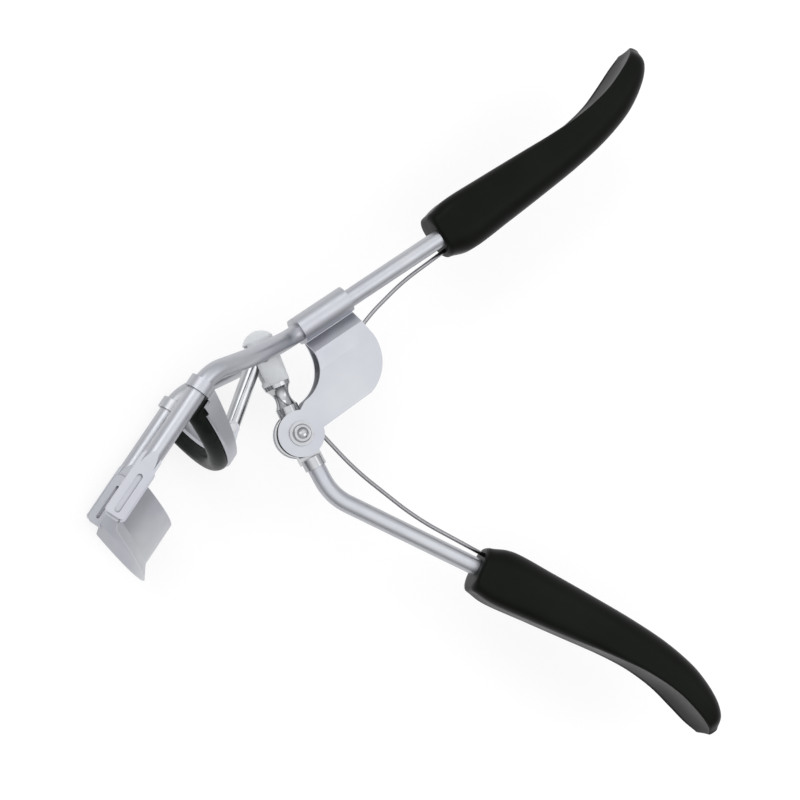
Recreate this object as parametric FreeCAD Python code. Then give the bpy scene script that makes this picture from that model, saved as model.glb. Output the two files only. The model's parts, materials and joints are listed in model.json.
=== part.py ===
import FreeCAD, Part
import math
import os

from FreeCAD import Vector as V

# Eyelash curler, in millimetres, drawn around its lever pivot and moved at the end so that the
# origin is the middle of the bottom of its box. X runs from the jaws to the handles, Y from the
# lower handle to the upper one, Z is the width of the jaws: the curler lies on its side.

# ---- driving dimensions -------------------------------------------------------------------
ROD_R = 1.5                    # radius of the frame rods and the lower handle rod
LEG_Z = 16.5                   # half distance between the two frame legs
PAIR_Z = 1.55                  # half distance between the two rods inside the sleeve
STEM_DEG = 35.0                # direction of the upper handle
LOWER_DEG = -25.0              # direction of the lower handle
LEG_DEG = -123.0               # direction in which the jaw slides down the legs
STEM_AT = V(0.1, 16.8, 0)      # a point on the upper handle's line
LEG_AT = V(-19.5, 3.9, 0)      # zero point of the leg's line
UPPER_GRIP_AT = V(23.1, 33.05, 0)
UPPER_GRIP_DEG = 35.6          # the upper grip leans out a little from its rod
LOWER_GRIP_AT = V(29.9, -21.15, 0)
ROD_IN_GRIP = 26.0             # how far each rod runs inside its grip

PADDLE_FROM, PADDLE_TO = 10.6, 21.15   # flattened end of a leg, along the leg
PADDLE_HALF_W, PADDLE_HALF_T = 1.58, 0.95
RAMP_FROM, RAMP_TO = 9.9, 12.8         # the round leg is pressed down to the paddle along a slope
RIB_FROM, RIB_TO, RIB_R = 14.4, 20.15, 0.45
RIB_SUNK = 0.75                # the clinched rib stays this much under the paddle's face
GROOVE_R, GROOVE_DEPTH = 0.28, 1.4     # groove that the clinching leaves on the ear's inner side

JAW_TILT = 0.31                # rise of both jaws along the leg, per millimetre of bulge
SHEET = 0.5                    # thickness of the jaw sheets
BLADE_MID_R, BLADE_CENTRE = 18.4, -9.26
BLADE_TOP, BLADE_FLARE_AT, BLADE_LOW = 13.2, 20.6, 22.8
BLADE_FLARE = 1.5              # how far the lower rim stands out
BLADE_END_DEG = 56.2
BLADE_TOP_CUT = (14.25, 0.228)         # trimmed edges: place on the leg and rise along the bulge
BLADE_LOW_CUT = (22.1, 0.34)
CARRIER_R, CARRIER_CENTRE = 18.2, -6.4
CARRIER_TOP_CUT = (-3.75, 0.45)
LEDGE_END_DEG, CARRIER_END_DEG = 57.0, 60.6
STRAP_END_DEG = 64.0           # the carrier's sheet runs on into the loops round the legs
LEDGE_LOW = 0.1                # underside of the carrier's ledge, where the pad is bonded
LEDGE_DEPTH = 3.6              # width of the ledge, across the bulge
PAD_TOP_IN, PAD_TOP_OUT = 14.4, 17.9
PAD_EDGE = 2.35                # where the pad clamps
PAD_END_DEG = 61.0
PAD_HORN_FROM = 57.2           # beyond the ledge's ends the pad rises to the loops
PAD_HORN_IN, PAD_HORN_OUT = 15.2, 17.6
LOOP_FROM, LOOP_TO = -2.9, -1.0
LOOP_R, LOOP_WALL = 1.6, 0.46

CHEEK_IN, CHEEK_SHEET = 1.9, 0.45      # half gap between the bracket's cheeks, and its sheet
DISC_R = 3.8
SLEEVE_R, SLEEVE_RISE = 2.25, 0.25     # outside of the sleeve, and how far it sits towards the outer side
SLEEVE_FROM, SLEEVE_TO = -0.4, 9.1
PINCH_FROM, PINCH_TO = 1.6, 2.3
FLARE_MID, FLARE_MID_GAP, FLARE_END = 4.3, 1.28, 7.0   # the cheeks part quickly, then slowly
PINCH_HALF_GAP = 0.05

PIVOT_R, RUNNING = 1.25, 0.05
WASHER_R, WASHER_T = 2.0, 0.35
HEAD_R, HEAD_H = 1.5, 0.65
BOSS_R = 3.7
ARM_DEG = 114.7                # direction of the lever's neck and cap
ARM_DOWN_DEG = -61.0           # direction in which the lower handle rod leaves the pivot
NECK_FROM, NECK_TO = 3.4, 8.95
SPIGOT_TO, SPIGOT_R = 10.4, 1.1
COLLAR_FROM, COLLAR_TO, COLLAR_R = 4.2, 6.0, 1.85
CAP_FOOT_R, CAP_R = 2.3, 2.6
DOME_FROM = 16.6
DOME_R = CAP_R / math.sin(math.radians(60))        # the dome is 60 degrees of a ball each way
DOME_MID = DOME_FROM + DOME_R * (math.cos(math.radians(30)) - 0.5)
CAP_TO = DOME_FROM + DOME_R / 2
CAP_SLOT_HALF = 1.4
# the cap's slot in its side view, along the neck and towards the jaws: its sloped side clears the
# link as it leans out at rest
CAP_SLOT = [(16.45, -1.05), (12.95, -1.05), (8.2, 3.5), (16.45, 3.5)]

LINK_R, EYE_HALF = 1.3, 1.2
LINK_LOW = V(-11.1, 0.7, 0)
LINK_TOP = V(-6.75, 13.2, 0)
LOST_MOTION = 1.15             # how far the upper pin travels along the cap's long holes
LOW_PIN_R, TOP_PIN_R = 0.7, 0.8
LOW_EYE_R, TOP_EYE_R = 1.15, 1.3
EAR_IN, EAR_T = 1.35, 0.5
EAR_FOOT_IN, EAR_FOOT_OUT = 8.6, 11.6    # where the ears stand on the carrier's ledge
EAR_FOOT_S = 2.5

WIRE_R, COIL_R = 0.35, 2.7
TURN_DEG = 325.0               # how far each half of the spring goes round the pivot
UPPER_COIL_Z, LOWER_COIL_Z = 0.72, 1.47
BUSH_R = 2.1

UP = V(0, 0, 1)
FAR_BIG = 60.0


def along(degrees):
    """Unit vector in the handle plane."""
    a = math.radians(degrees)
    return V(math.cos(a), math.sin(a), 0)


STEM = along(STEM_DEG)
LEG = along(LEG_DEG)
BULGE = along(LEG_DEG + 90)             # across the leg, towards the jaws' bulge


def at_leg(s, t=0.0, z=0.0):
    """Point s along the leg, t across it and z wide."""
    return LEG_AT + LEG * s + BULGE * t + UP * z


def mirrored(shape):
    """The same shape on the other side of the handle plane."""
    return shape.mirror(V(0, 0, 0), UP)


def cylinder(start, direction, r, length):
    return Part.makeCylinder(r, length, start, direction)


def disc(centre, r, z_low, z_high):
    return cylinder(V(centre.x, centre.y, z_low), UP, r, z_high - z_low)


def prism(points, z_low, z_high):
    """Straight-sided plate from points in the handle plane."""
    ring = [V(p.x, p.y, z_low) for p in points]
    return Part.Face(Part.makePolygon(ring + ring[:1])).extrude(UP * (z_high - z_low))


def rod(points, radii, r, lead=None):
    """Round rod along straight runs joined by tangent arcs, one radius for each inner point.

    lead is an arc's start and middle that runs into the first point."""
    edges = []
    last = points[0]
    if lead:
        edges.append(Part.Arc(lead[0], lead[1], last).toShape())
    for i, radius in enumerate(radii, 1):
        into = (points[i] - points[i - 1]).normalize()
        out = (points[i + 1] - points[i]).normalize()
        half_turn = into.getAngle(out) / 2
        reach = radius * math.tan(half_turn)
        a = points[i] - into * reach
        b = points[i] + out * reach
        inwards = (out - into).normalize()
        middle = points[i] + inwards * (radius / math.cos(half_turn) - radius)
        edges += [Part.LineSegment(last, a).toShape(), Part.Arc(a, middle, b).toShape()]
        last = b
    edges.append(Part.LineSegment(last, points[-1]).toShape())
    path = Part.Wire(edges)
    first = edges[0]
    start = Part.Wire(Part.Circle(first.firstVertex().Point, first.tangentAt(first.FirstParameter), r).toShape())
    solid = Part.Solid(path.makePipeShell([start], True, True))
    print("rod length %.2f, volume ratio %.5f" % (path.Length, solid.Volume / (math.pi * r * r * path.Length)))
    return solid


def to_jaw_frame(shape):
    """Places a shape drawn in the jaws' own frame, x across the bulge, y wide, z along the leg."""
    placed = shape.copy()
    placed.Placement = FreeCAD.Placement(LEG_AT, FreeCAD.Rotation(BULGE, UP, LEG)).multiply(placed.Placement)
    return placed


def jaw_band(profile, centre, end_deg):
    """Turns a closed profile of (radius, height) edges into a curved jaw strip and tilts it."""
    start = FreeCAD.Placement(V(centre, 0, 0), FreeCAD.Rotation(UP, -end_deg))
    face = Part.Face(Part.Wire(profile))
    face.Placement = start.multiply(face.Placement)
    strip = face.revolve(V(centre, 0, 0), UP, 2 * end_deg)
    tilt = FreeCAD.Matrix()
    tilt.A31 = JAW_TILT
    return strip.transformGeometry(tilt)


def outline(points):
    """Closed profile in the radius-height plane: (x, z) corners, or (x, z, arc mid x, arc mid z)."""
    edges = []
    for i, p in enumerate(points):
        q = points[(i + 1) % len(points)]
        a = V(p[0], 0, p[1])
        b = V(q[0], 0, q[1])
        if len(p) == 4:
            edges.append(Part.Arc(a, V(p[2], 0, p[3]), b).toShape())
        else:
            edges.append(Part.LineSegment(a, b).toShape())
    return edges


def between_planes(low, high):
    """Block of the jaw frame between two tilted planes, for trimming."""
    x0, x1 = -FAR_BIG / 4, FAR_BIG / 2
    corners = [(x0, low[0] + low[1] * x0), (x1, low[0] + low[1] * x1),
               (x1, high[0] + high[1] * x1), (x0, high[0] + high[1] * x0)]
    ring = [V(x, -FAR_BIG / 2, z) for x, z in corners]
    return Part.Face(Part.makePolygon(ring + ring[:1])).extrude(V(0, FAR_BIG, 0))


# ---- frame --------------------------------------------------------------------------------
def leg_rod(stem_end):
    """One frame rod on the near side: stem, spread, leg and paddle."""
    points = [
        STEM_AT + STEM * stem_end + UP * PAIR_Z,
        STEM_AT - STEM * 2.6 + UP * PAIR_Z,
        V(-9.8, 10.8, 11.6),
        at_leg(-4.5, 0, LEG_Z),
        at_leg(RAMP_TO, 0, LEG_Z),
    ]
    bar = rod(points, [4.7, 28.0, 6.0], ROD_R)
    for sign in (-1, 1):
        bar = bar.cut(to_jaw_frame(ramp_cutter(sign)))
    corner = 0.6
    length = PADDLE_TO - PADDLE_FROM
    plate = Part.makeBox(2 * PADDLE_HALF_W, 2 * PADDLE_HALF_T, length,
                         V(-PADDLE_HALF_W, LEG_Z - PADDLE_HALF_T, PADDLE_FROM))
    wide_edges = [e for e in plate.Edges if abs(e.tangentAt(e.FirstParameter).y) > 0.9]
    plate = plate.makeFillet(corner, wide_edges)
    solid = bar.fuse(to_jaw_frame(plate)).removeSplitter()
    return solid.cut(to_jaw_frame(rib(LEG_Z - 2 * PADDLE_HALF_T, LEG_Z + 2 * PADDLE_HALF_T)))


def ramp_cutter(sign):
    """Wedge off one side of a round leg; at its end it lies just under the paddle's face."""
    low = PADDLE_HALF_T - 0.05
    slope = (RAMP_TO - RAMP_FROM) / (ROD_R - low)
    high = ROD_R + 0.2
    corners = [(low, RAMP_TO), (low, RAMP_TO + 1), (high + 1, RAMP_TO + 1), (high + 1, RAMP_FROM - 0.2 * slope),
               (high, RAMP_FROM - 0.2 * slope)]
    ring = [V(-3, LEG_Z + sign * y, z) for y, z in corners]
    return Part.Face(Part.makePolygon(ring + ring[:1])).extrude(V(6, 0, 0))


def rib(y_low, y_high, r=RIB_R):
    """Long round-ended rib through a paddle's slot."""
    length = RIB_TO - RIB_FROM
    bar = Part.makeBox(2 * r, y_high - y_low, length, V(-r, y_low, RIB_FROM))
    for z in (RIB_FROM, RIB_TO):
        bar = bar.fuse(Part.makeCylinder(r, y_high - y_low, V(0, y_low, z), V(0, 1, 0)))
    return bar.removeSplitter()


def fixed_jaw():
    """Curved blade with a flared lower rim and an ear clinched into each paddle."""
    a = BLADE_MID_R - SHEET / 2
    b = BLADE_MID_R + SHEET / 2
    strip = jaw_band(outline([
        (a, BLADE_TOP), (b, BLADE_TOP), (b, BLADE_FLARE_AT), (b + BLADE_FLARE, BLADE_LOW),
        (a + BLADE_FLARE, BLADE_LOW), (a, BLADE_FLARE_AT)]), BLADE_CENTRE, BLADE_END_DEG)
    strip = strip.common(between_planes(BLADE_TOP_CUT, BLADE_LOW_CUT))
    face_y = LEG_Z - PADDLE_HALF_T
    ear = Part.makeBox(3.4, SHEET, 9.2, V(-1.4, face_y - SHEET, 12.3))
    ear = ear.makeFillet(1.0, [e for e in ear.Edges if abs(e.tangentAt(e.FirstParameter).y) > 0.9])
    ear = ear.fuse(rib(face_y - SHEET / 2, LEG_Z + PADDLE_HALF_T - RIB_SUNK))
    ear = ear.cut(rib(face_y - SHEET, face_y - SHEET + GROOVE_DEPTH, GROOVE_R))
    other = ear.mirror(V(0, 0, 0), V(0, 1, 0))
    return to_jaw_frame(strip.fuse([ear, other]).removeSplitter())


def bracket():
    """Folded sheet: sleeve round the two rods, pinched seam, flare, cheeks and pivot discs."""
    w = CHEEK_SHEET
    outer = SLEEVE_R
    across = V(STEM.y, -STEM.x, 0)

    def at(n, z):
        return STEM_AT + STEM * SLEEVE_FROM + across * n + UP * z

    def slab(points):
        ring = [at(n, z) for n, z in points]
        return Part.Face(Part.makePolygon(ring + ring[:1])).extrude(STEM * (SLEEVE_TO - SLEEVE_FROM + 14))

    length = SLEEVE_TO - SLEEVE_FROM
    rise = SLEEVE_RISE
    sleeve = slab([(-outer - rise, -PAIR_Z), (-outer - rise, PAIR_Z), (outer - rise, PAIR_Z), (outer - rise, -PAIR_Z)])
    for z in (-PAIR_Z, PAIR_Z):
        sleeve = sleeve.fuse(cylinder(at(-rise, z), STEM, outer, length + 14))
    hollow = slab([(-ROD_R, -PAIR_Z), (-ROD_R, PAIR_Z), (ROD_R, PAIR_Z), (ROD_R, -PAIR_Z)])
    for z in (-PAIR_Z, PAIR_Z):
        hollow = hollow.fuse(cylinder(at(0, z), STEM, ROD_R, length + 14))
    sleeve = sleeve.cut(hollow)
    g = PINCH_HALF_GAP
    inner = CHEEK_IN
    cheek_line = [
        (PINCH_FROM, g), (PINCH_TO, g), (FLARE_MID, FLARE_MID_GAP), (FLARE_END, inner), (26, inner),
        (26, inner + w), (FLARE_END - 0.05, inner + w), (FLARE_MID - 0.17, FLARE_MID_GAP + 0.94 * w),
        (PINCH_TO - 0.11, g + w), (PINCH_FROM, g + w)]
    cheek = slab(cheek_line)
    folded = sleeve.fuse([cheek, mirrored(cheek)])
    back = slab(cheek_line)
    back.translate(STEM * -14)
    folded = folded.fuse([back, mirrored(back)])

    # side outline: sleeve, curved left edge, bulged right edge, straight run into the pivot disc
    def on_stem(a, n):
        return STEM_AT + STEM * a + across * n

    low = outer + 0.25
    top = outer + 0.5
    left_root = on_stem(SLEEVE_FROM, low)
    right_root = on_stem(SLEEVE_TO, low)
    disc_left = along(94) * DISC_R
    disc_right = along(17) * DISC_R
    bulge_low, bulge_mid, bulge_top = V(11.5, 6.9, 0), V(13.35, 11.4, 0), V(11.3, 17.1, 0)
    edges = [
        Part.LineSegment(on_stem(SLEEVE_FROM, -top), left_root).toShape(),
        Part.Arc(left_root, V(3.0, 10.7, 0), V(0.6, 5.3, 0)).toShape(),
        Part.LineSegment(V(0.6, 5.3, 0), disc_left).toShape(),
        Part.Arc(disc_left, along(235) * DISC_R, disc_right).toShape(),
        Part.LineSegment(disc_right, bulge_low).toShape(),
        Part.Arc(bulge_low, bulge_mid, bulge_top).toShape(),
        Part.LineSegment(bulge_top, right_root).toShape(),
        Part.LineSegment(right_root, on_stem(SLEEVE_TO, -top)).toShape(),
        Part.LineSegment(on_stem(SLEEVE_TO, -top), on_stem(SLEEVE_FROM, -top)).toShape(),
    ]
    side = Part.Face(Part.Wire(edges))
    side.translate(UP * -8)
    sheet = folded.common(side.extrude(UP * 16))
    return sheet.cut(disc(V(0, 0, 0), PIVOT_R, -5, 5)).removeSplitter()


def pivot_rivet():
    """Rivet with a flat head each side and a dimple in each head."""
    face = CHEEK_IN + CHEEK_SHEET + WASHER_T
    solid = disc(V(0, 0, 0), PIVOT_R, -face, face)
    head = disc(V(0, 0, 0), HEAD_R, face, face + HEAD_H)
    head = head.makeFillet(0.3, [e for e in head.Edges if e.BoundBox.ZMin > face + HEAD_H - 0.01])
    dimple = Part.makeSphere(1.3, V(0, 0, face + HEAD_H + 0.9))
    head = head.cut(dimple)
    return solid.fuse([head, mirrored(head)]).removeSplitter()


def washer():
    low = CHEEK_IN + CHEEK_SHEET
    return disc(V(0, 0, 0), WASHER_R, low, low + WASHER_T).cut(disc(V(0, 0, 0), PIVOT_R, -9, 9))


def spring_bush():
    return disc(V(0, 0, 0), BUSH_R, 0.3, CHEEK_IN).cut(disc(V(0, 0, 0), PIVOT_R, -9, 9))


def spring_half(points, radii, z, sense):
    """Most of one turn of the torsion spring, which leaves its circle straight into the arm."""
    first = points[0]
    leave = math.degrees(math.atan2(first.y, first.x) - sense * math.acos(COIL_R / first.Length))
    route = [along(leave) * COIL_R] + points
    lead = [along(leave - sense * back) * COIL_R + UP * z for back in (TURN_DEG, TURN_DEG / 2)]
    return rod([p + UP * z for p in route], radii, WIRE_R, lead)


# ---- lever --------------------------------------------------------------------------------
def arm_frame(shape):
    """Places a shape drawn along +X at the pivot onto the lever's neck."""
    placed = shape.copy()
    placed.Placement = FreeCAD.Placement(V(0, 0, 0), FreeCAD.Rotation(UP, ARM_DEG)).multiply(placed.Placement)
    return placed


def turned(edges_points):
    """Solid of revolution about +X from (x, r) points; a third and fourth value make an arc."""
    edges = []
    for p, q in zip(edges_points, edges_points[1:]):
        a = V(p[0], p[1], 0)
        b = V(q[0], q[1], 0)
        if len(p) == 4:
            edges.append(Part.Arc(a, V(p[2], p[3], 0), b).toShape())
        else:
            edges.append(Part.LineSegment(a, b).toShape())
    edges.append(Part.LineSegment(V(*edges_points[-1][:2], 0), V(*edges_points[0][:2], 0)).toShape())
    return Part.Face(Part.Wire(edges)).revolve(V(0, 0, 0), V(1, 0, 0), 360)


def lever_hub():
    """Boss on the pivot, waisted neck that ends in a cup and a spigot, collar for the rod."""
    boss_low, boss_high = RUNNING - CHEEK_IN, 0.25
    boss = disc(V(0, 0, 0), BOSS_R, boss_low, boss_high)
    neck = arm_frame(turned([
        (NECK_FROM, 0), (NECK_FROM, 1.85), (4.9, 1.85, 6.6, 1.28), (8.3, 2.15), (NECK_TO, 2.25),
        (NECK_TO, SPIGOT_R), (SPIGOT_TO, SPIGOT_R), (SPIGOT_TO, 0)]))
    down = along(ARM_DOWN_DEG)
    side = V(-down.y, down.x, 0) * COLLAR_R
    web = prism([side, side + down * (COLLAR_FROM + 0.6), down * (COLLAR_FROM + 0.6) - side, side * -1],
                boss_low, boss_high)
    collar = cylinder(down * COLLAR_FROM, down, COLLAR_R, COLLAR_TO - COLLAR_FROM)
    bore = disc(V(0, 0, 0), PIVOT_R + RUNNING, -5, 5)
    return boss.fuse([neck, web, collar]).cut(bore).removeSplitter()


def lower_rod():
    down = along(ARM_DOWN_DEG)
    handle = along(LOWER_DEG)
    corner = V(5.45, -9.83, 0)
    points = [down * COLLAR_FROM, corner, LOWER_GRIP_AT + handle * ROD_IN_GRIP]
    return rod(points, [9.0], ROD_R)


def nylon_cap():
    """Round cap on the spigot, slotted on the jaw side for the link, with two long holes."""
    cap = arm_frame(turned([
        (NECK_TO, 0), (NECK_TO, CAP_FOOT_R), (DOME_FROM, CAP_R, DOME_MID, CAP_R / math.sqrt(3)), (CAP_TO, 0)]))
    spigot = arm_frame(cylinder(V(NECK_TO - 1, 0, 0), V(1, 0, 0), SPIGOT_R, SPIGOT_TO - NECK_TO + 1))
    slot = arm_frame(prism([V(x, y, 0) for x, y in CAP_SLOT], -CAP_SLOT_HALF, CAP_SLOT_HALF))
    inner = LINK_TOP - V(LINK_TOP).normalize() * LOST_MOTION
    return cap.cut([spigot, slot, long_hole(inner, LINK_TOP, TOP_PIN_R + 0.15)]).removeSplitter()


def long_hole(p, q, r):
    """Cutter for a round-ended hole from p to q."""
    out = (q - p).normalize()
    side = V(-out.y, out.x, 0) * r
    edges = [
        Part.LineSegment(p - side, q - side).toShape(),
        Part.Arc(q - side, q + out * r, q + side).toShape(),
        Part.LineSegment(q + side, p + side).toShape(),
        Part.Arc(p + side, p - out * r, p - side).toShape(),
    ]
    face = Part.Face(Part.Wire(edges))
    face.translate(UP * -5)
    return face.extrude(UP * 10)


# ---- link and moving jaw ------------------------------------------------------------------
def link_rod():
    line = (LINK_TOP - LINK_LOW).normalize()
    length = (LINK_TOP - LINK_LOW).Length
    bar = cylinder(LINK_LOW + line * 0.55, line, LINK_R, length - 0.55)
    eyes = [disc(LINK_LOW, LOW_EYE_R, -EYE_HALF, EYE_HALF), disc(LINK_TOP, TOP_EYE_R, -EYE_HALF, EYE_HALF)]
    low_bore = disc(LINK_LOW, LOW_PIN_R + RUNNING, -5, 5)
    top_bore = disc(LINK_TOP, TOP_PIN_R, -5, 5)
    return bar.fuse(eyes).cut([low_bore, top_bore]).removeSplitter()


def jaw_carrier():
    """Upright curved flange with a ledge under it, loops round the legs and two ears for the link."""
    b, low, w = CARRIER_R, LEDGE_LOW, SHEET
    a = b - LEDGE_DEPTH
    top = CARRIER_TOP_CUT[0] - 1.0
    r = 0.6
    k = r * (1 - math.sqrt(0.5))
    wing = jaw_band(outline([
        (b, top), (b, low - r, b - k, low - k), (b - r, low), (a, low), (a, low - w),
        (b - w, low - w), (b - w, top)]), CARRIER_CENTRE, LEDGE_END_DEG)
    end = jaw_band(outline([(b - w, top), (b, top), (b, low - r), (b - w, low - r)]), CARRIER_CENTRE, CARRIER_END_DEG)
    wing = wing.fuse(end).common(between_planes(CARRIER_TOP_CUT, (low + 1.0, JAW_TILT)))
    strap = jaw_band(outline([(b - w, top), (b, top), (b, low), (b - w, low)]), CARRIER_CENTRE, STRAP_END_DEG)
    strap = strap.common(between_planes((LOOP_FROM, 0), (LOOP_TO, 0)))
    pieces = [strap.common(between_planes(CARRIER_TOP_CUT, (low, JAW_TILT)))]
    for side in (-1, 1):
        pieces.append(Part.makeCylinder(LOOP_R + LOOP_WALL, LOOP_TO - LOOP_FROM, V(0, side * LEG_Z, LOOP_FROM)))
    local = wing.fuse(pieces)
    for side in (-1, 1):
        local = local.cut(Part.makeCylinder(LOOP_R, 9, V(0, side * LEG_Z, LOOP_FROM - 3)))
    solid = to_jaw_frame(local)
    for side in (-1, 1):
        z0 = EAR_IN if side > 0 else -EAR_IN - EAR_T
        foot_in = at_leg(EAR_FOOT_S, EAR_FOOT_IN)
        foot_out = at_leg(EAR_FOOT_S + JAW_TILT * (EAR_FOOT_OUT - EAR_FOOT_IN), EAR_FOOT_OUT)
        ear = disc(LINK_LOW, LOW_EYE_R, z0, z0 + EAR_T)
        ear = ear.fuse(prism([LINK_LOW - BULGE * LOW_EYE_R, foot_in, foot_out, LINK_LOW + BULGE * LOW_EYE_R],
                             z0, z0 + EAR_T))
        solid = solid.fuse(ear)
    return solid.cut(disc(LINK_LOW, LOW_PIN_R, -5, 5)).removeSplitter()


def rubber_pad():
    """Curved rubber strip bonded under the ledge: a rounded clamp edge, and a horn at each end."""
    low = LEDGE_LOW
    strip = jaw_band(outline([
        (PAD_TOP_IN, low), (PAD_TOP_OUT, low), (PAD_TOP_OUT - 0.3, low + 0.8, 16.95, 1.75),
        (15.9, PAD_EDGE, 14.95, PAD_EDGE - 0.15), (PAD_TOP_IN + 0.1, 1.5)]), CARRIER_CENTRE, PAD_END_DEG)
    horns = jaw_band(outline([(PAD_HORN_IN, low - 3), (PAD_HORN_OUT, low - 3), (PAD_HORN_OUT, low + 0.5),
                              (PAD_HORN_IN, low + 0.5)]), CARRIER_CENTRE, PAD_END_DEG)
    middle = jaw_band(outline([(PAD_HORN_IN - 1, low - 4), (PAD_HORN_OUT + 1, low - 4), (PAD_HORN_OUT + 1, low + 1),
                               (PAD_HORN_IN - 1, low + 1)]), CARRIER_CENTRE, PAD_HORN_FROM)
    horns = horns.cut(middle).common(between_planes((LOOP_TO + 0.02, 0), (low + 0.4, JAW_TILT)))
    return to_jaw_frame(strip.fuse(horns.Solids).removeSplitter())


def pin(centre, r, half_length):
    return disc(centre, r, -half_length, half_length)


# ---- grips --------------------------------------------------------------------------------
# Stations along a grip: outer edge point, inner edge point and half width. The outer edge is
# the side away from the other handle, where a finger lies in a long saddle near the tip.
GRIP_STATIONS = [
    ((0.0, 3.2), (0.0, -2.3), 3.2),
    ((0.7, 4.0), (0.9, -3.4), 4.0),
    ((2.4, 4.35), (2.9, -4.3), 4.4),
    ((6.0, 4.6), (6.5, -4.65), 4.6),
    ((12.0, 4.5), (12.0, -4.4), 4.7),
    ((20.0, 4.15), (20.0, -3.95), 4.7),
    ((27.0, 3.75), (28.0, -3.35), 4.8),
    ((33.0, 3.75), (35.0, -2.3), 5.0),
    ((38.6, 4.6), (41.1, -0.5), 5.2),
    ((43.2, 6.15), (45.5, 2.0), 5.0),
    ((46.3, 7.6), (48.2, 4.5), 4.1),
    ((48.2, 8.6), (49.4, 6.8), 2.3),
]


def grip_section(outer, inner, half_width, base, u_dir, v_dir):
    """Rounded section: small corners on the outer side, large ones on the inner side."""
    o = base + u_dir * outer[0] + v_dir * outer[1]
    i = base + u_dir * inner[0] + v_dir * inner[1]
    depth = (i - o).Length
    inwards = (i - o).normalize()
    r_out = min(1.5, depth * 0.3)
    r_in = min(3.2, depth * 0.55, half_width * 0.75)
    h = half_width
    q = math.sqrt(0.5)

    def p(d, z):
        return o + inwards * d + UP * z

    def corner(d, z, r, d_sign, z_sign):
        return p(d - d_sign * r * (1 - q), z - z_sign * r * (1 - q))

    edges = [
        Part.LineSegment(p(0, r_out - h), p(0, h - r_out)),
        Part.Arc(p(0, h - r_out), corner(0, h, r_out, -1, 1), p(r_out, h)),
        Part.LineSegment(p(r_out, h), p(depth - r_in, h)),
        Part.Arc(p(depth - r_in, h), corner(depth, h, r_in, 1, 1), p(depth, h - r_in)),
        Part.LineSegment(p(depth, h - r_in), p(depth, r_in - h)),
        Part.Arc(p(depth, r_in - h), corner(depth, -h, r_in, 1, -1), p(depth - r_in, -h)),
        Part.LineSegment(p(depth - r_in, -h), p(r_out, -h)),
        Part.Arc(p(r_out, -h), corner(0, -h, r_out, -1, -1), p(0, r_out - h)),
    ]
    return Part.Wire([e.toShape() for e in edges])


def grip(base, u_dir, v_dir):
    sections = [grip_section(o, i, w, base, u_dir, v_dir) for o, i, w in GRIP_STATIONS]
    return Part.makeLoft(sections, True, False)


# ---- assembly -----------------------------------------------------------------------------
def build():
    handle = along(LOWER_DEG)
    upper_wire = [V(8.1, 16.3, 0), V(17.2, 25.65, 0), V(28.0, 33.9, 0)]
    lower_wire = [V(9.0, -5.65, 0), V(19.3, -13.4, 0), V(35.6, -21.75, 0)]
    parts = {}
    upper_rod = leg_rod((UPPER_GRIP_AT - STEM_AT).dot(STEM) + ROD_IN_GRIP)
    far_rod = mirrored(leg_rod(SLEEVE_TO - 0.5))
    parts["upper_frame_rod"] = upper_rod
    parts["far_frame_rod"] = far_rod
    parts["pivot_bracket"] = bracket()
    parts["fixed_jaw_blade"] = fixed_jaw()
    parts["pivot_rivet"] = pivot_rivet()
    parts["pivot_washer_near"] = washer()
    parts["pivot_washer_far"] = mirrored(washer())
    parts["spring_bush"] = spring_bush()
    upper_spring = spring_half(upper_wire, [32.0, 40.0], UPPER_COIL_Z, 1)
    lower_spring = spring_half(lower_wire, [50.0, 50.0], LOWER_COIL_Z, -1)
    parts["spring_upper_arm"] = upper_spring
    parts["spring_lower_arm"] = lower_spring
    grip_line = along(UPPER_GRIP_DEG)
    v_up = V(-grip_line.y, grip_line.x, 0)
    v_down = V(handle.y, -handle.x, 0)
    parts["upper_grip"] = grip(UPPER_GRIP_AT, grip_line, v_up).cut([upper_rod, upper_spring])
    lower = lower_rod()
    parts["lower_handle_rod"] = lower
    parts["lower_grip"] = grip(LOWER_GRIP_AT, handle, v_down).cut([lower, lower_spring])
    parts["lever_hub"] = lever_hub().cut(lower)
    parts["nylon_cap"] = nylon_cap()
    parts["link_rod"] = link_rod()
    parts["link_upper_pin"] = pin(LINK_TOP, TOP_PIN_R, 2.2)
    parts["link_lower_pin"] = pin(LINK_LOW, LOW_PIN_R, EAR_IN + EAR_T + 0.2)
    parts["jaw_carrier"] = jaw_carrier()
    parts["rubber_pad"] = rubber_pad()
    return parts


parts = build()
box = FreeCAD.BoundBox()
for shape in parts.values():
    box.add(shape.optimalBoundingBox(False))
shift = V(-box.Center.x, -box.Center.y, -box.ZMin)
os.makedirs("parts", exist_ok=True)
for name, shape in parts.items():
    moved = shape.copy()
    moved.translate(shift)
    solids = moved.Solids
    if len(solids) != 1 or not solids[0].isValid():
        print("CHECK", name, len(solids), [s.isValid() for s in solids])
    moved = solids[0] if len(solids) == 1 else Part.makeCompound(solids)
    moved.exportStep("parts/%s.step" % name)
print("box %.3f x %.3f x %.3f mm" % (box.XLength, box.YLength, box.ZLength))
print("pivot axis at %.4f, %.4f, %.4f" % tuple(shift))
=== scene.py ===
import json
import math

import bmesh
import bpy
from mathutils import Matrix, Vector

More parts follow.
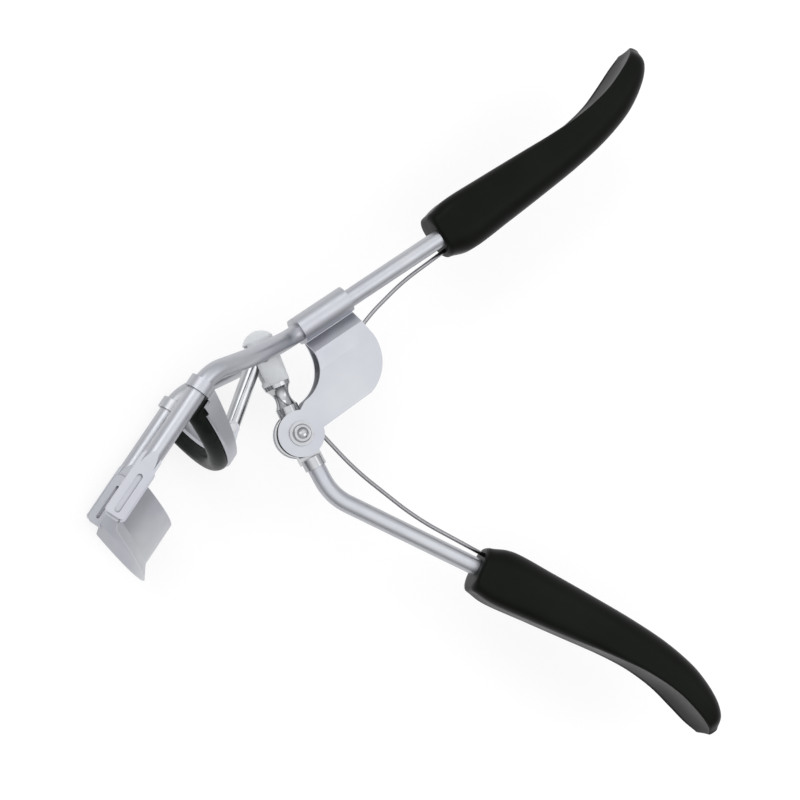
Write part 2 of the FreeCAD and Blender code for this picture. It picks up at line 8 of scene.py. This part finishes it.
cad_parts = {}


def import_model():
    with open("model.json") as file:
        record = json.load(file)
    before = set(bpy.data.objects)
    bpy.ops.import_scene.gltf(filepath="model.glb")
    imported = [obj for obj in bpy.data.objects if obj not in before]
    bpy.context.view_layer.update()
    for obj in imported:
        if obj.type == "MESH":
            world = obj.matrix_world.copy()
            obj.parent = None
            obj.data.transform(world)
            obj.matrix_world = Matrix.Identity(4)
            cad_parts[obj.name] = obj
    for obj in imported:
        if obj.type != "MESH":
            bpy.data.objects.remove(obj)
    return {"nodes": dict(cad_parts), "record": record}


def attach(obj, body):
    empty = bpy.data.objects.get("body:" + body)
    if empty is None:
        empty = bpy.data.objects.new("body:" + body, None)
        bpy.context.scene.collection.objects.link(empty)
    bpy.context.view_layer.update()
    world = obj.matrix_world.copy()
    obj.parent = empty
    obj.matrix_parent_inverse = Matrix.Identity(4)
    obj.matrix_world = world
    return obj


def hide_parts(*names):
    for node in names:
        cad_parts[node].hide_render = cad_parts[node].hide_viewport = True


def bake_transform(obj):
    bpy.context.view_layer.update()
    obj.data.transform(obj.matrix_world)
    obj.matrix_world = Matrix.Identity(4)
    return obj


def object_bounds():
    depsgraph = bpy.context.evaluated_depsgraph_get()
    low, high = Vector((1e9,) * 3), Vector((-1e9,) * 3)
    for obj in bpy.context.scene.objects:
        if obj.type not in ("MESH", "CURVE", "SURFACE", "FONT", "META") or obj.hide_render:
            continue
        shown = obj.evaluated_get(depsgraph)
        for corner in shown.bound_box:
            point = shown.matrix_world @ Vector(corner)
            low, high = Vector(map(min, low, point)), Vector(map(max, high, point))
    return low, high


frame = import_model()
cad_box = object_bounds()

MM = 0.001
JOINTS = {j["name"]: j for j in frame["record"]["behaviour"]["joints"]}
PIVOT = Vector(JOINTS["lever_hinge"]["pos_m"])       # on the pivot's axis, in the middle plane
LEG = Vector(JOINTS["jaw_slide"]["axis"])            # down the frame legs
BULGE = Vector((-LEG.y, LEG.x, 0))                   # across the legs, towards the jaws' bulge
LEG_ZERO = PIVOT + Vector((-19.5, 3.9, 0)) * MM      # zero point of the legs' line

EDGE_WEAR = 0.07 * MM                                # width of the worn edges
EDGE_MIN_ANGLE = math.radians(38)                    # sharper edges than this are worn
WORN_NODES = ("upper_frame_rod", "far_frame_rod", "pivot_bracket", "fixed_jaw_blade", "jaw_carrier", "lever_hub")


# ---- materials ----------------------------------------------------------------------------
AO_DARK, AO_CLEAR = 0.12, 0.62                       # openness at which the painted shade in crevices is darkest, and gone


class Nodes:
    """A material's node tree, with short ways to add and join nodes."""

    def __init__(self, name):
        self.mat = bpy.data.materials.new(name)
        self.mat.use_nodes = True
        self.tree = self.mat.node_tree
        self.shader = self.tree.nodes["Principled BSDF"]
        self.coords = self.add("ShaderNodeTexCoord").outputs["Object"]

    def add(self, kind, **values):
        node = self.tree.nodes.new(kind)
        for key, value in values.items():
            setattr(node, key, value)
        return node

    def join(self, out, into):
        self.tree.links.new(out, into)

    def noise(self, size_mm, detail=3.0, stretch=(1, 1, 1)):
        """Noise with patches of about size_mm; a stretch under 1 draws it out along that axis."""
        mapping = self.add("ShaderNodeMapping")
        mapping.inputs["Scale"].default_value = [k / (size_mm * MM) for k in stretch]
        self.join(self.coords, mapping.inputs["Vector"])
        node = self.add("ShaderNodeTexNoise")
        node.inputs["Scale"].default_value = 1.0
        node.inputs["Detail"].default_value = detail
        self.join(mapping.outputs["Vector"], node.inputs["Vector"])
        return node.outputs["Fac"]

    def span(self, value, low, high, from_low=0.3, from_high=0.7):
        """Maps a value from one range to another, kept between low and high."""
        node = self.add("ShaderNodeMapRange")
        node.inputs["From Min"].default_value = from_low
        node.inputs["From Max"].default_value = from_high
        node.inputs["To Min"].default_value = low
        node.inputs["To Max"].default_value = high
        self.join(value, node.inputs["Value"])
        return node.outputs["Result"]

    def blend(self, factor, a, b):
        """Mixes two colours."""
        node = self.add("ShaderNodeMix", data_type="RGBA")
        node.inputs["A"].default_value = (*a, 1)
        node.inputs["B"].default_value = (*b, 1)
        self.join(factor, node.inputs["Factor"])
        return node.outputs["Result"]

    def painted_crevice_shade(self, colour, reach_mm=0.9, dark=(0.012, 0.012, 0.014)):
        """Paints shade into a colour: darker in narrow slots and where pieces meet, as far as the ambient
        occlusion reaches.
        """
        node = self.add("ShaderNodeAmbientOcclusion", samples=8)
        node.inputs["Distance"].default_value = reach_mm * MM
        mix = self.add("ShaderNodeMix", data_type="RGBA")
        mix.inputs["A"].default_value = (*dark, 1)
        self.join(colour, mix.inputs["B"])
        self.join(self.span(node.outputs["AO"], 0, 1, AO_DARK, AO_CLEAR), mix.inputs["Factor"])
        return mix.outputs["Result"]

    def bump(self, height, depth_mm, strength=1.0):
        """Normals of a height; only for grain too fine to be shape."""
        node = self.add("ShaderNodeBump")
        node.inputs["Strength"].default_value = strength
        node.inputs["Distance"].default_value = depth_mm * MM
        self.join(height, node.inputs["Height"])
        return node.outputs["Normal"]

    def set(self, **values):
        """Sets the shader's inputs to plain values or to other nodes' outputs."""
        for key, value in values.items():
            socket = self.shader.inputs[key.replace("_", " ")]
            if isinstance(value, bpy.types.NodeSocket):
                self.join(value, socket)
            else:
                socket.default_value = value


def satin_nickel():
    """Pearl nickel plate: soft grain, faint lilac and warm patches, and painted shade in crevices."""
    n = Nodes("satin_nickel")
    patches = n.noise(14.0)
    grain = n.noise(0.5, 4.0)
    cloud = n.noise(2.2)
    tint = n.blend(n.span(patches, 0, 1), (0.42, 0.425, 0.47), (0.48, 0.495, 0.51))
    # the base colour carries painted shade in crevices and where pieces meet
    n.set(Base_Color=n.painted_crevice_shade(tint, 0.55), Metallic=1.0,
          Roughness=n.span(cloud, 0.34, 0.42), Normal=n.bump(grain, 0.006, 0.5))
    return n.mat


def bright_chrome():
    """Polished plate with hair scratches and slight clouding, and painted shade in crevices."""
    n = Nodes("bright_chrome")
    scratches = n.noise(0.35, 4.0, (0.25, 1, 1))
    cloud = n.noise(3.0)
    tint = n.blend(n.span(cloud, 0, 1), (0.38, 0.39, 0.40), (0.47, 0.48, 0.49))
    # the base colour carries painted shade in crevices and where pieces meet
    n.set(Base_Color=n.painted_crevice_shade(tint, 1.2), Metallic=1.0,
          Roughness=n.span(scratches, 0.10, 0.18), Normal=n.bump(scratches, 0.001, 0.1))
    return n.mat


def spring_wire():
    """Drawn steel wire."""
    n = Nodes("spring_wire")
    draw = n.noise(0.15, 3.0, (1, 1, 0.3))
    n.set(Base_Color=n.blend(n.span(draw, 0, 1), (0.20, 0.20, 0.21), (0.36, 0.36, 0.37)), Metallic=1.0,
          Roughness=n.span(draw, 0.12, 0.22), Normal=n.bump(draw, 0.001, 0.3))
    return n.mat


def soft_grip():
    """Moulded black soft plastic: a fine matte skin with slow sheen changes."""
    n = Nodes("soft_grip")
    skin = n.noise(0.12, 3.0)
    sheen = n.noise(9.0)
    n.set(Base_Color=n.blend(n.span(sheen, 0, 1), (0.0042, 0.0047, 0.0038), (0.0062, 0.0070, 0.0056)),
          Roughness=n.span(sheen, 0.32, 0.42), Specular_IOR_Level=0.06, Specular_Tint=(0.92, 1.0, 0.95, 1),
          Normal=n.bump(skin, 0.008, 0.35), Sheen_Weight=0.012, Sheen_Roughness=0.4)
    return n.mat


def pad_rubber():
    """Black silicone-like rubber, a little dusty, greenish grey where light catches it."""
    n = Nodes("pad_rubber")
    skin = n.noise(0.2, 4.0)
    dust = n.noise(1.4, 5.0)
    n.set(Base_Color=n.blend(n.span(dust, 0, 1), (0.004, 0.0055, 0.0045), (0.009, 0.012, 0.010)),
          Roughness=n.span(dust, 0.28, 0.40), Specular_IOR_Level=0.055, Sheen_Weight=0.008,
          Sheen_Roughness=0.5, Normal=n.bump(skin, 0.01, 0.4))
    return n.mat


def milky_nylon():
    """Milky nylon that lets light through, with faint flow marks."""
    n = Nodes("milky_nylon")
    flow = n.noise(1.8, 3.0, (1, 1, 0.4))
    n.set(Base_Color=n.blend(n.span(flow, 0, 1), (0.70, 0.72, 0.735), (0.80, 0.82, 0.83)),
          Roughness=n.span(flow, 0.30, 0.42), Transmission_Weight=0.25, IOR=1.3,
          Subsurface_Weight=0.5, Subsurface_Scale=1.5 * MM, Subsurface_Radius=(1.0, 1.0, 0.95),
          Normal=n.bump(flow, 0.01, 0.3))
    return n.mat


MATERIALS = {make.__name__: make() for make in
             (satin_nickel, bright_chrome, spring_wire, soft_grip, pad_rubber, milky_nylon)}


def finish_piece(obj, slot):
    """Gives a new piece the material named by one of the record's slots."""
    obj.data.materials.clear()
    obj.data.materials.append(MATERIALS[slot])


for part in frame["record"]["subparts"]:
    node = frame["nodes"][part["node"]]
    for slot in node.material_slots:
        slot.material = MATERIALS[part["material_slot"]]


for name in WORN_NODES:
    mod = frame["nodes"][name].modifiers.new("worn edges", "BEVEL")
    mod.width = EDGE_WEAR
    mod.segments = 2
    mod.limit_method = "ANGLE"
    mod.angle_limit = EDGE_MIN_ANGLE
    mod.harden_normals = True


# ---- meshes -------------------------------------------------------------------------------
def mesh_object(name, verts, faces):
    """Smooth-shaded object from points and faces, its normals turned outwards."""
    mesh = bpy.data.meshes.new(name)
    mesh.from_pydata([tuple(v) for v in verts], [], faces)
    mesh.validate()
    bm = bmesh.new()
    bm.from_mesh(mesh)
    bmesh.ops.recalc_face_normals(bm, faces=bm.faces)
    bm.to_mesh(mesh)
    bm.free()
    mesh.polygons.foreach_set("use_smooth", [True] * len(mesh.polygons))
    obj = bpy.data.objects.new(name, mesh)
    bpy.context.scene.collection.objects.link(obj)
    return obj


def rings_object(name, rings):
    """Closed skin over rings of points, with a fan at each end."""
    count = len(rings[0])
    verts = [p for ring in rings for p in ring]
    faces = []
    for i in range(len(rings) - 1):
        for k in range(count):
            a, b = i * count + k, i * count + (k + 1) % count
            faces.append((a, b, b + count, a + count))
    for base in (0, (len(rings) - 1) * count):
        ring = verts[base:base + count]
        centre = sum(ring, Vector()) / count
        verts.append(centre)
        faces += [(base + k, base + (k + 1) % count, len(verts) - 1) for k in range(count)]
    return mesh_object(name, verts, faces)


def smooth_table(rows, x):
    """Value of a table of (x, y, ...) rows at x, along a smooth curve through the rows."""
    xs = [r[0] for r in rows]
    i = max(0, min(len(rows) - 2, sum(1 for v in xs if v <= x) - 1))
    h = xs[i + 1] - xs[i]
    t = (x - xs[i]) / h
    out = []
    for c in range(1, len(rows[0])):
        def slope(k):
            low, high = max(0, k - 1), min(len(rows) - 1, k + 1)
            return (rows[high][c] - rows[low][c]) / (xs[high] - xs[low])
        a, b = rows[i][c], rows[i + 1][c]
        out.append((2 * t**3 - 3 * t**2 + 1) * a + (t**3 - 2 * t**2 + t) * h * slope(i)
                   + (3 * t**2 - 2 * t**3) * b + (t**3 - t**2) * h * slope(i + 1))
    return out


# ---- grips --------------------------------------------------------------------------------
# One row per station: place, outer u and v, inner u and v, half width, corner radius at the
# outer side, depth of the finger saddle. All but the place are in millimetres.
GRIP_ROWS = [
    (0.0, 0.0, 4.2, 0.0, -3.7, 3.9, 2.0, 0.0),
    (1.0, 4.0, 4.75, 4.0, -4.7, 4.6, 2.2, 0.0),
    (2.0, 12.0, 4.5, 12.0, -4.4, 4.65, 2.3, 0.0),
    (3.0, 20.0, 4.15, 20.0, -3.95, 4.7, 2.0, 0.05),
    (4.0, 27.0, 3.8, 28.0, -3.35, 4.85, 1.3, 0.25),
    (5.0, 33.0, 3.85, 35.0, -2.3, 5.5, 0.7, 0.45),
    (6.0, 38.6, 4.7, 41.1, -0.5, 6.1, 0.5, 0.6),
    (7.0, 43.2, 6.25, 45.5, 2.0, 6.1, 0.5, 0.6),
    (8.0, 46.2, 7.55, 48.1, 4.5, 5.3, 0.6, 0.4),
    (9.0, 47.9, 8.4, 49.1, 6.7, 3.2, 0.6, 0.1),
]
GRIP_LENGTH_STEPS = 72
GRIP_CORNER_STEPS = 8
GRIP_OUTER_STEPS, GRIP_SIDE_STEPS, GRIP_INNER_STEPS = 12, 3, 5
GRIP_INNER_CORNER = 3.4
GRIP_RIM_STEPS = 5              # rings in the rounded rim at the base and in the rounded tip
GRIP_RIM, GRIP_RIM_SHARE = 0.9, 3.6
GRIP_RIM_FADE = 12.0            # the rim's shift along the grip fades out over this length
GRIP_TIP_DIR = Vector((0.62, 0.78, 0))
GRIP_TIP_BULGE = 0.55


def grip_ring(row, squeeze):
    """Section at one row, shrunk by squeeze, in the grip's own frame, as (u, v, w) in millimetres."""
    ou, ov, iu, iv, half, corner, saddle = row
    o, i = Vector((ou, ov, 0)), Vector((iu, iv, 0))
    mid = (o + i) / 2
    o, i = mid + (o - mid) * squeeze, mid + (i - mid) * squeeze
    half *= squeeze
    depth = (i - o).length
    inward = (i - o).normalized()
    r_out = min(corner, depth * 0.45, half * 0.6)
    r_in = min(GRIP_INNER_CORNER, depth * 0.62, half * 0.8)
    quarter = [math.pi / 2 * k / GRIP_CORNER_STEPS for k in range(1, GRIP_CORNER_STEPS)]
    side = [k / GRIP_SIDE_STEPS for k in range(GRIP_SIDE_STEPS + 1)]
    points = []
    # outer side, with the finger saddle
    for k in range(GRIP_OUTER_STEPS + 1):
        w = (half - r_out) * (1 - 2 * k / GRIP_OUTER_STEPS)
        dip = saddle * (1 - (w / half) ** 2)
        points.append((dip, w))
    # far side, with a corner at each end
    for a in quarter:
        points.append((r_out * (1 - math.cos(a)), -(half - r_out) - r_out * math.sin(a)))
    for f in side:
        points.append((r_out + (depth - r_in - r_out) * f, -half))
    for a in quarter:
        points.append((depth - r_in + r_in * math.sin(a), -(half - r_in) - r_in * math.cos(a)))
    # inner side
    for k in range(GRIP_INNER_STEPS + 1):
        w = -(half - r_in) * (1 - 2 * k / GRIP_INNER_STEPS)
        points.append((depth, w))
    # near side, with a corner at each end
    for a in quarter:
        points.append((depth - r_in + r_in * math.cos(a), (half - r_in) + r_in * math.sin(a)))
    for f in side:
        points.append((depth - r_in - (depth - r_in - r_out) * f, half))
    for a in quarter:
        points.append((r_out * (1 - math.sin(a)), (half - r_out) + r_out * math.cos(a)))
    return [o + inward * d + Vector((0, 0, w)) for d, w in points]


def grip_piece(name, node, at, degrees, outer_sign, body):
    """Skin of one grip: at is its base in millimetres from the pivot, degrees its direction."""
    a = math.radians(degrees)
    u_dir = Vector((math.cos(a), math.sin(a), 0))
    v_dir = Vector((-u_dir.y, u_dir.x, 0)) * outer_sign
    rings = []
    end = GRIP_ROWS[-1][0]
    for k in range(GRIP_LENGTH_STEPS + 1):
        x = end * k / GRIP_LENGTH_STEPS
        rings.append(grip_ring(smooth_table(GRIP_ROWS, x), 1.0))
    # rounded rim at the base
    base = GRIP_ROWS[0][1:]
    first = []
    for k in range(GRIP_RIM_STEPS):
        a = math.pi / 2 * k / GRIP_RIM_STEPS
        ring = grip_ring(base, 1.0 - GRIP_RIM * (1 - math.sin(a)) / GRIP_RIM_SHARE)
        first.append([p - Vector((GRIP_RIM * math.cos(a), 0, 0)) for p in ring])
    rings = [[p + Vector((GRIP_RIM * max(0.0, 1 - p.x / GRIP_RIM_FADE), 0, 0)) for p in ring]
             for ring in first + rings]
    # closing rings at the tip
    tip = GRIP_ROWS[-1][1:]
    for k in range(1, GRIP_RIM_STEPS):
        a = math.pi / 2 * k / GRIP_RIM_STEPS
        rings.append([p + GRIP_TIP_DIR * GRIP_TIP_BULGE * math.sin(a) for p in grip_ring(tip, math.cos(a))])
    placed = []
    for ring in rings:
        placed.append([PIVOT + (Vector((at[0], at[1], 0)) + u_dir * p.x + v_dir * p.y
                                + Vector((0, 0, p.z))) * MM for p in ring])
    obj = rings_object(name, placed)
    finish_piece(obj, "soft_grip")
    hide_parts(node)
    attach(obj, body)


grip_piece("upper_grip_skin", "upper_grip", (23.1, 33.05), 35.6, 1, "frame")
grip_piece("lower_grip_skin", "lower_grip", (29.9, -21.15), -25.0, -1, "lever")


# ---- rubber pad ---------------------------------------------------------------------------
# The pad bends round a point at PAD_CENTRE across the legs. Its section is in (radius, height) from the
# plane of the ledge, which leans by PAD_TILT. All are in millimetres.
PAD_CENTRE, PAD_TILT, PAD_END_DEG = -6.4, 0.31, 61.2
PAD_RINGS = 96
PAD_MIDDLE = 16.1                                    # radius of the section's middle
PAD_TOP = 0.1                                        # height of the face bonded to the ledge
PAD_END_ROUNDING, PAD_END_SIZE = 1.0, 0.55           # length of the rounded end, and its size at the tip
PAD_OUTER_MIN = 0.97                                 # the outer side shrinks no further than this
# Beyond the ledge the pad's top rises to the loops.
HORN_FROM_DEG, HORN_RAMP_DEG = 56.9, 0.9
HORN_TOP, HORN_OUT = -1.25, 17.72
HORN_UNDER_HEIGHT, HORN_MIN_RADIUS = 0.12, 15.0      # points of the section that rise
PAD_SECTION = [(14.4, 0.12), (14.45, 0.9), (14.62, 1.0), (14.66, 1.2), (14.5, 1.32), (14.52, 1.65), (14.75, 2.05),
               (15.2, 2.28), (15.75, 2.33), (16.3, 2.18), (16.85, 1.85), (17.3, 1.4), (17.6, 0.95),
               (17.8, 0.55), (17.88, 0.12), (17.5, 0.1), (16.4, 0.1), (15.3, 0.1)]


def jaw_point(t, s, z):
    """Point at t across the legs, s down them and z out of the middle plane, in millimetres."""
    return LEG_ZERO + (BULGE * t + LEG * s + Vector((0, 0, z))) * MM


def pad_ring(along):
    """Ring of the pad at along, which runs from -1 at one end to 1 at the other."""
    theta = math.radians(PAD_END_DEG) * along
    left = (1 - abs(along)) * math.radians(PAD_END_DEG) * PAD_MIDDLE
    shrink = 1.0
    if left <= PAD_END_ROUNDING:
        shrink = PAD_END_SIZE + (1 - PAD_END_SIZE) * math.sqrt(max(0.0, 1 - (1 - left) ** 2))
    rise = min(1.0, max(0.0, (abs(math.degrees(theta)) - HORN_FROM_DEG) / HORN_RAMP_DEG))
    ring = []
    for rho, height in PAD_SECTION:
        side_shrink = shrink if rho < PAD_MIDDLE else max(shrink, PAD_OUTER_MIN)
        r = PAD_MIDDLE + (rho - PAD_MIDDLE) * side_shrink
        if rise > 0:
            r = min(r, HORN_OUT)
        t = PAD_CENTRE + r * math.cos(theta)
        s = PAD_TOP + (height - PAD_TOP) * shrink + PAD_TILT * t
        if height <= HORN_UNDER_HEIGHT and rho > HORN_MIN_RADIUS:
            s += (HORN_TOP - s) * rise
        ring.append(jaw_point(t, s, r * math.sin(theta)))
    return ring


def pad_piece():
    rings = [pad_ring(-1 + 2 * k / PAD_RINGS) for k in range(PAD_RINGS + 1)]
    obj = rings_object("rubber_pad_skin", rings)
    mod = obj.modifiers.new("smooth", "SUBSURF")
    mod.levels = mod.render_levels = 1
    finish_piece(obj, "pad_rubber")
    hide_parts("rubber_pad")
    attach(obj, "jaw")


pad_piece()


# ---- spring -------------------------------------------------------------------------------
# All in millimetres from the pivot. Each arm's points run outwards from the coil.
WIRE_R = 0.35
UPPER_WIRE = [Vector((8.1, 16.3)), Vector((17.2, 25.65)), Vector((28.0, 33.9))]
LOWER_WIRE = [Vector((9.0, -5.65)), Vector((19.3, -13.4)), Vector((35.6, -21.75))]
UPPER_BENDS, LOWER_BENDS = [32.0, 40.0], [50.0, 50.0]
UPPER_COIL_R, LOWER_COIL_R = 2.85, 2.5
UPPER_Z, LOWER_Z = 0.62, 1.52
COIL_TURNS, COIL_STEPS = 2, 120


def rounded_run(points, radii, step=0.5):
    """Points along straight runs joined by tangent arcs."""
    out = [points[0]]
    for i, radius in enumerate(radii, 1):
        into = (points[i] - points[i - 1]).normalized()
        away = (points[i + 1] - points[i]).normalized()
        turn = into.angle_signed(away)
        reach = radius * math.tan(abs(turn) / 2)
        start = points[i] - into * reach
        sign = 1 if into.cross(away) > 0 else -1
        side = Vector((-into.y, into.x)) * sign
        centre = start + side * radius
        arm = start - centre
        count = max(3, int(radius * abs(turn) / step))
        for k in range(count + 1):
            a = sign * abs(turn) * k / count
            out.append(centre + Vector((arm.x * math.cos(a) - arm.y * math.sin(a),
                                        arm.x * math.sin(a) + arm.y * math.cos(a))))
    out.append(points[-1])
    return out


def tube_object(name, path, radius, sides=14):
    """Round wire along a path."""
    rings = []
    normal = Vector((0, 0, 1))
    for i, p in enumerate(path):
        ahead = path[min(i + 1, len(path) - 1)] - path[max(i - 1, 0)]
        tangent = ahead.normalized()
        normal = (normal - tangent * normal.dot(tangent)).normalized()
        other = tangent.cross(normal)
        rings.append([p + (normal * math.cos(2 * math.pi * k / sides)
                           + other * math.sin(2 * math.pi * k / sides)) * radius for k in range(sides)])
    return rings_object(name, rings)


def spring_arm(wire, bends, radius, side):
    """Angle at which an arm leaves the coil, on a tangent, and the points of the arm."""
    leave = math.atan2(wire[0].y, wire[0].x) + side * math.acos(radius / wire[0].length)
    start = Vector((radius * math.cos(leave), radius * math.sin(leave)))
    return leave, rounded_run([start] + wire, bends)


def spring_piece():
    """One wire: upper arm, coil round the pivot, lower arm."""
    leave_up, upper = spring_arm(UPPER_WIRE, UPPER_BENDS, UPPER_COIL_R, -1)
    leave_low, lower = spring_arm(LOWER_WIRE, LOWER_BENDS, LOWER_COIL_R, 1)
    sweep = (leave_low - COIL_TURNS * 2 * math.pi) - leave_up
    coil = []
    for k in range(1, COIL_STEPS):
        f = k / COIL_STEPS
        a = leave_up + sweep * f
        r = UPPER_COIL_R + (LOWER_COIL_R - UPPER_COIL_R) * f
        coil.append(Vector((r * math.cos(a), r * math.sin(a), UPPER_Z + (LOWER_Z - UPPER_Z) * f)))
    path = [Vector((p.x, p.y, UPPER_Z)) for p in reversed(upper)] + coil
    path += [Vector((p.x, p.y, LOWER_Z)) for p in lower]
    obj = tube_object("torsion_spring", [PIVOT + p * MM for p in path], WIRE_R * MM)
    finish_piece(obj, "spring_wire")
    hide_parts("spring_upper_arm", "spring_lower_arm")
    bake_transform(obj)


spring_piece()


# ---- stage --------------------------------------------------------------------------------
FLOOR_HALF = 3.0                # metres
FLOOR_GAP = 0.0002              # metres between the floor and the part
# From the horizon (0) to straight up (1), and how bright the studio is there.
STUDIO_BANDS = [(0.0, 0.07), (0.25, 0.17), (0.5, 0.32), (0.75, 0.60), (0.9, 0.86), (1.0, 0.94)]
STUDIO_FILL = (0.50, 0.50, 0.515, 1)
STUDIO_STRENGTH = 2.0


def floor():
    """Plain pale floor just under the part."""
    size = FLOOR_HALF
    mesh = bpy.data.meshes.new("floor")
    z = cad_box[0][2] - FLOOR_GAP
    corners = [(-size, -size, z), (size, -size, z), (size, size, z), (-size, size, z)]
    mesh.from_pydata(corners, [], [(0, 1, 2, 3)])
    obj = bpy.data.objects.new("floor", mesh)
    bpy.context.scene.collection.objects.link(obj)
    n = Nodes("floor")
    patches = n.noise(120.0)
    n.set(Base_Color=n.blend(n.span(patches, 0, 1), (0.30, 0.30, 0.30), (0.32, 0.32, 0.32)),
          Roughness=0.9, Specular_IOR_Level=0.1, Emission_Color=(1, 1, 1, 1), Emission_Strength=0.68)
    mesh.materials.append(n.mat)


floor()


def world():
    """Soft tent: dark up to the horizon, brighter above it, evened out to grey towards +Y."""
    scene_world = bpy.data.worlds.new("studio")
    bpy.context.scene.world = scene_world
    scene_world.use_nodes = True
    tree = scene_world.node_tree
    coords = tree.nodes.new("ShaderNodeTexCoord")
    split = tree.nodes.new("ShaderNodeSeparateXYZ")
    tree.links.new(coords.outputs["Generated"], split.inputs["Vector"])
    ramp = tree.nodes.new("ShaderNodeValToRGB")
    ramp.color_ramp.interpolation = "EASE"
    while len(ramp.color_ramp.elements) < len(STUDIO_BANDS):
        ramp.color_ramp.elements.new(0.5)
    for element, (place, grey) in zip(ramp.color_ramp.elements, STUDIO_BANDS):
        element.position = place
        element.color = (grey, grey, grey * 1.01, 1)
    tree.links.new(split.outputs["Z"], ramp.inputs["Fac"])
    side = tree.nodes.new("ShaderNodeMapRange")
    side.inputs["From Min"].default_value = -1.0
    side.inputs["From Max"].default_value = 0.6
    side.inputs["To Min"].default_value = 0.0
    side.inputs["To Max"].default_value = 0.7
    tree.links.new(split.outputs["Y"], side.inputs["Value"])
    lift = tree.nodes.new("ShaderNodeMix")
    lift.data_type = "RGBA"
    tree.links.new(side.outputs["Result"], lift.inputs["Factor"])
    tree.links.new(ramp.outputs["Color"], lift.inputs["A"])
    lift.inputs["B"].default_value = STUDIO_FILL
    tree.links.new(lift.outputs["Result"], tree.nodes["Background"].inputs["Color"])
    tree.nodes["Background"].inputs["Strength"].default_value = STUDIO_STRENGTH


world()


def area_light(name, place, size, energy):
    """Rectangular light at place, in metres from the pivot, turned towards the pivot."""
    data = bpy.data.lights.new(name, "AREA")
    data.shape = "RECTANGLE"
    data.size, data.size_y = size
    data.energy = energy
    obj = bpy.data.objects.new(name, data)
    bpy.context.scene.collection.objects.link(obj)
    obj.location = PIVOT + Vector(place)
    obj.rotation_euler = (-Vector(place)).to_track_quat("-Z", "Y").to_euler()


area_light("key", (-0.35, 0.45, 0.75), (0.6, 0.45), 1.15)
area_light("fill", (0.55, 0.05, 0.6), (0.35, 0.5), 0.5)


# ---- camera -------------------------------------------------------------------------------
CAMERA_LENS, CAMERA_SENSOR, CAMERA_CLIP = 76.7, 36.0, 0.01
CAMERA_PLACE = Vector((-55.27, -22.53, 269.0))       # millimetres from the pivot
CAMERA_RIGHT, CAMERA_UP = Vector((0.9658, 0.0, 0.2592)), Vector((-0.0265, 0.9948, 0.0986))


def camera():
    """The photograph's viewing angle."""
    data = bpy.data.cameras.new("camera")
    data.lens = CAMERA_LENS
    data.sensor_width = CAMERA_SENSOR
    data.clip_start = CAMERA_CLIP
    obj = bpy.data.objects.new("camera", data)
    bpy.context.scene.collection.objects.link(obj)
    back = CAMERA_RIGHT.cross(CAMERA_UP).normalized()
    up = back.cross(CAMERA_RIGHT).normalized()
    turn = Matrix((CAMERA_RIGHT, up, back)).transposed().to_4x4()
    obj.matrix_world = Matrix.Translation(PIVOT + CAMERA_PLACE * MM) @ turn
    bpy.context.scene.camera = obj


camera()
bpy.context.scene.view_settings.view_transform = "Standard"
